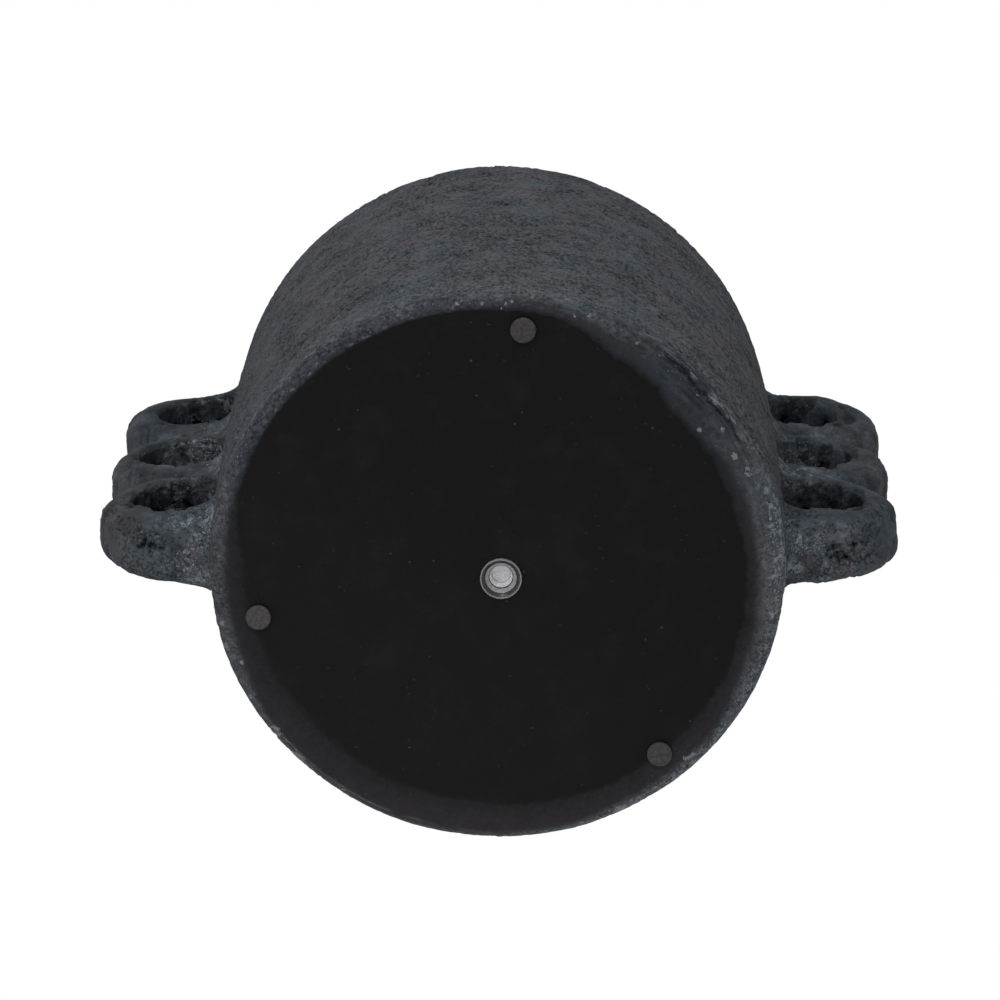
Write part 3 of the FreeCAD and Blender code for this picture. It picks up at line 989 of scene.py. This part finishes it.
def bare_clay(nodes, film_colour):
    """The clay's colour without its paint, darkened as painted shade in its small holes and pits,
    and its small holes and its whitish bloom.
    """
    mineral = nodes.value("mineral")
    tint = nodes.noise(40, 5) * 0.65 + nodes.noise(13, 4) * 0.35
    tint = tint - mineral * 0.06 - nodes.value("cool") * 0.06
    base = nodes.mix(nodes.spread(tint, 0.36, 0.5), BLUE_GREY, PLAIN_GREY)
    base = nodes.mix(nodes.spread(tint, 0.48, 0.64), base, WARM_GREY)
    base = nodes.mix(nodes.value("film") * 0.95, base, film_colour)

    # small holes, sunk by the bump and darkened below as painted shade in them
    small = nodes.noise(1.9, 3, 0.6) + nodes.noise(24, 3) * 0.3
    holes = nodes.spread(small, 0.66, 0.78) - nodes.value("rubbed")
    holes = nodes.reckon("MAXIMUM", holes, 0.0)
    cloud = nodes.spread(nodes.noise(11, 4), 0.3, 0.7, 0.86, 1.14)
    chunks = nodes.spread(nodes.cells(2.0), 0, 1, 0.9, 1.12)
    # pits are darkened as painted shade in them; cloud and chunks vary the tone at random
    deep = nodes.spread(nodes.value("pit"), 0.05, 0.9, 1.04, 0.62)
    tone_and_painted_shade = cloud * chunks * deep * nodes.value("tone") * nodes.spread(holes, 0, 1, 1.0, 0.5)
    grey = nodes.add("CombineColor")
    for socket in grey.inputs[:3]:
        nodes.link(tone_and_painted_shade, socket)
    base = nodes.mix(1.0, base, grey.outputs["Color"], "MULTIPLY")

    cluster = nodes.spread(nodes.noise(6.0, 4, 0.7), 0.38, 0.62)
    crumbs = nodes.cells(2.4, nodes.bent(1.6, 0.9)) * 0.45 + nodes.noise(3.6, 5, 0.65) * 0.75
    bloom = mineral * cluster * nodes.spread(crumbs, 0.46, 0.78)
    base = nodes.mix(bloom * 0.95, base, BLOOM)
    grains = nodes.noise(1.1, 2) + mineral * 0.13
    base = nodes.mix(nodes.spread(grains, 0.70, 0.78) * 0.7, base, MINERAL)
    return base, holes, bloom


def paint_coat(nodes, film_colour):
    """Where paint covers the clay, and its colour: black, with a thin brownish border."""
    stray = (nodes.noise(4.5, 6, 0.7) - 0.5) * (nodes.value("ragged") * 1.6)
    black = nodes.spread(nodes.value("paint") + stray, -1.0, 1.0)
    thin = nodes.spread(nodes.value("coat") + stray, -1.0, 1.0)
    paint = nodes.reckon("MAXIMUM", black, thin * 0.9)
    mottle = nodes.spread(nodes.noise(10, 5, 0.65), 0.42, 0.62)
    brown = nodes.mix(nodes.value("film"), nodes.mix(mottle, THIN_PAINT, DULL_PAINT), film_colour)
    coat = nodes.mix(black, brown, BLACK_PAINT)
    speck = nodes.cells(0.9)
    faint = nodes.reckon("LESS_THAN", speck, nodes.spread(nodes.noise(34, 3), 0.5, 0.62, 0.0, 0.006))
    bright = nodes.reckon("LESS_THAN", speck, 0.0003)
    smudge = nodes.spread(nodes.noise(26, 6, 0.7), 0.48, 0.7, 0.0, 0.008)
    # faint specks and a smudge of dust, then the painted lighting gradient that pales the paint
    # towards the back-left
    for share in (faint * 0.03 + bright * 0.08, smudge, nodes.value("painted_light_gradient")):
        coat = nodes.mix(share, coat, MINERAL)
    return paint, coat


def edge_marks(nodes):
    """How pale the ridges (worn clay with a painted highlight), flecks and chips are, and how deep
    the crack is, which also sets the painted shade in it.
    """
    line = nodes.value("line") + (nodes.noise(2.4, 5, 0.7) - 0.5) * 3.0
    crack = nodes.spread(nodes.reckon("ABSOLUTE", line, 0), 0.0, 0.4, 1.0, 0.0)
    crack = crack * nodes.value("folded") * nodes.spread(nodes.noise(9, 3), 0.3, 0.44)
    shard = nodes.cells(0.8, nodes.bent(0.8, 0.6))
    pale_marks_and_highlight = nodes.value("pale_marks_and_highlight") * nodes.spread(shard, 0, 0.7, 0.5, 1.0)
    chips = nodes.spread(nodes.value("chips") + shard * 0.6, 0.98, 1.12)
    return nodes.reckon("MAXIMUM", pale_marks_and_highlight * 0.7, chips * 0.68), crack


def clay_material():
    """Charcoal clay with a blue to brown bloom, mineral specks and black paint underneath."""
    nodes = Nodes(bpy.data.materials.new("charcoal_clay_rough"))
    film_colour = nodes.mix(nodes.spread(nodes.noise(15, 4, 0.6), 0.4, 0.64), FILM, WARM_FILM)
    base, holes, bloom = bare_clay(nodes, film_colour)
    paint, coat = paint_coat(nodes, film_colour)
    pale, crack = edge_marks(nodes)
    colour = nodes.mix(pale, nodes.mix(paint, base, coat), CHIP)
    # the crack is painted near black: painted shade in it
    colour = nodes.mix(crack * 0.5, colour, BLACK_PAINT)
    roughness = nodes.add("Mix", data_type="FLOAT")
    nodes.put(paint, roughness.inputs["Factor"])
    nodes.put(CLAY_ROUGHNESS, roughness.inputs[2])
    nodes.put(PAINT_ROUGHNESS, roughness.inputs[3])
    nodes.link(roughness.outputs[0], nodes.shader.inputs["Roughness"])
    rise = nodes.noise(2.8, 6, 0.66) - holes * 0.5 + bloom * 0.5 - crack
    nodes.bump(rise * nodes.spread(paint, 0, 1, 1.0, 0.2), 1.0, 1.1)
    return nodes.finish(colour, {"Specular IOR Level": 0.04})


def pad_material(name, tone):
    """A soft grey-brown pad with faint scuffs, specks and a few fibres stuck to it."""
    nodes = Nodes(bpy.data.materials.new(name))
    scuff = nodes.spread(nodes.noise(2.4, 6, 0.65), 0.28, 0.72)
    colour = nodes.mix(scuff, toned(PAD_DARK, tone), toned(PAD_PALE, tone))
    speck = nodes.reckon("LESS_THAN", nodes.cells(0.5), 0.022)
    colour = nodes.mix(speck * 0.14, colour, MINERAL)
    scratch = nodes.noise(1.6, 2, where=nodes.coordinates((3.2, 0.6, 1)))
    colour = nodes.mix(nodes.spread(scratch, 0.66, 0.74) * 0.08, colour, MINERAL)
    nodes.bump(nodes.noise(0.8, 3), 0.5, 0.15)
    return nodes.finish(colour, {"Roughness": 0.75, "Specular IOR Level": 0.2})


def adhesive_material():
    """The dark adhesive under the pads."""
    nodes = Nodes(bpy.data.materials.new("adhesive_dark"))
    colour = nodes.mix(nodes.noise(2.0), STICKY_DARK, STICKY_PALE)
    return nodes.finish(colour, {"Roughness": 0.5})


def plug_material(name, clearness, tone):
    """Soft plastic, either clear or milky."""
    nodes = Nodes(bpy.data.materials.new(name))
    cloud = nodes.noise(2.2, 4)
    colour = nodes.mix(nodes.spread(cloud, 0.3, 0.7), toned(PLUG_DULL, tone), toned(PLUG_PALE, tone))
    nodes.link(nodes.spread(cloud, 0.3, 0.7, 0.20, 0.34), nodes.shader.inputs["Roughness"])
    return nodes.finish(colour, {"Transmission Weight": clearness, "Specular IOR Level": 0.3,
                                 "IOR": 1.42})


# The room

# The camera, in pixels of the frame and millimetres: how far it is tilted and turned from the
# pot's axis, how far off it is, and where the middle of the underside lies in the frame
FOCAL = 4559.0
FRAME = 1000.0
SENSOR = 36.0
TILT = math.radians(17.295)
YAW = math.radians(0.511)
DISTANCE = 2376.2
BASE_AT = (497.7, 574.3)

WHITE = (1, 1, 1, 1)
ROOM_LIGHT = 0.42

# The floor's half width, and the distances between which it fades out, in metres
GROUND_REACH = 4.0
GROUND_FADE = (0.35, 1.6)
GROUND_COLOUR = (0.82, 0.82, 0.81, 1)

# The lamps: name, place, what they point at and size, in metres, and power
LAMPS = (
    ("key", (-0.4, -2.3, 0.1), (0, 0, 0.15), 1.4, 20),
    ("front", (-0.3, -1.8, -1.4), (0, 0, 0), 1.0, 13),
    ("low", (-0.4, 0.6, -2.2), (0, 0, 0), 1.4, 15),
    ("back", (1.2, 2.0, 1.4), (0, 0, 0.15), 1.4, 26),
)


def build_camera():
    """The photograph's view, from below and a little to the front."""
    data = bpy.data.cameras.new("camera")
    data.sensor_width = SENSOR
    data.lens = SENSOR * FOCAL / FRAME
    data.clip_end = 100
    camera = placed("camera", data)
    turn_cos, turn_sin = math.cos(YAW), math.sin(YAW)
    tilt_cos, tilt_sin = math.cos(TILT), math.sin(TILT)
    right = Vector((turn_cos, turn_sin * tilt_sin, turn_sin * tilt_cos))
    down = Vector((0, tilt_cos, -tilt_sin))
    ahead = Vector((-turn_sin, turn_cos * tilt_sin, turn_cos * tilt_cos))
    aside = (BASE_AT[0] - FRAME / 2) * DISTANCE / FOCAL
    below = (BASE_AT[1] - FRAME / 2) * DISTANCE / FOCAL
    place = Vector((0, 0, STAND)) - right * aside - down * below - ahead * DISTANCE
    columns = Matrix((right, -down, -ahead)).transposed()
    camera.matrix_world = Matrix.Translation(place * MM) @ columns.to_4x4()
    bpy.context.scene.camera = camera


def build_lamp(name, place, target, size, power):
    """A round soft lamp that points at a target."""
    data = bpy.data.lights.new(name, "AREA")
    data.shape = "DISK"
    data.size = size
    data.energy = power
    lamp = placed(name, data)
    lamp.location = place
    lamp.rotation_euler = (Vector(target) - Vector(place)).to_track_quat("-Z", "Y").to_euler()


def build_world():
    """Even light all round, and white for what the camera and clear pieces see behind the pot."""
    world = bpy.data.worlds.new("studio")
    bpy.context.scene.world = world
    nodes = Nodes(world, empty=True)
    ray = nodes.add("LightPath").outputs
    seen = nodes.reckon("MAXIMUM", ray["Is Camera Ray"], ray["Is Transmission Ray"])
    seen = nodes.reckon("MAXIMUM", seen, ray["Is Glossy Ray"])
    light = nodes.add("Background", Color=WHITE, Strength=ROOM_LIGHT)
    white = nodes.add("Background", Color=WHITE, Strength=1.0)
    nodes.choose(seen, light, white, nodes.add("OutputWorld"))


def build_floor():
    """A pale floor that shows only from above, because the photograph looks through it."""
    mesh = bpy.data.meshes.new("floor")
    mesh.from_pydata([(x * GROUND_REACH, y * GROUND_REACH, 0) for x in (-1, 1) for y in (-1, 1)],
                     [], [(0, 2, 3, 1)])
    nodes = Nodes(bpy.data.materials.new("floor_pale"), empty=True)
    ray = nodes.add("LightPath").outputs["Is Camera Ray"]
    below = nodes.add("NewGeometry").outputs["Backfacing"]
    away = nodes.add("VectorMath", operation="LENGTH")
    nodes.link(nodes.add("TexCoord").outputs["Object"], away.inputs[0])
    fade = nodes.spread(away.outputs["Value"], *GROUND_FADE, 1.0, 0.0)
    shown = nodes.reckon("SUBTRACT", ray, below, clamp=True) * fade
    clear = nodes.add("BsdfTransparent")
    pale = nodes.add("BsdfDiffuse", Color=GROUND_COLOUR)
    nodes.choose(shown, clear, pale, nodes.add("OutputMaterial"))
    mesh.materials.append(nodes.owner)
    placed("floor", mesh)


clay = clay_material()
build_shell(clay)
for side in LOOP_SIDES:
    loops = [Loop(side, level) for level in LOOP_LEVELS]
    for own, level in enumerate(LOOP_LEVELS):
        build_loop(loops, own, side, level, clay)
build_pads()
build_plug()
sticky = adhesive_material()
for name in PADS:
    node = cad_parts[f"{name}_foot_adhesive"]
    for slot in node.material_slots:
        slot.material = sticky
build_camera()
build_world()
build_floor()
for lamp in LAMPS:
    build_lamp(*lamp)
bpy.context.scene.view_settings.view_transform = "Standard"
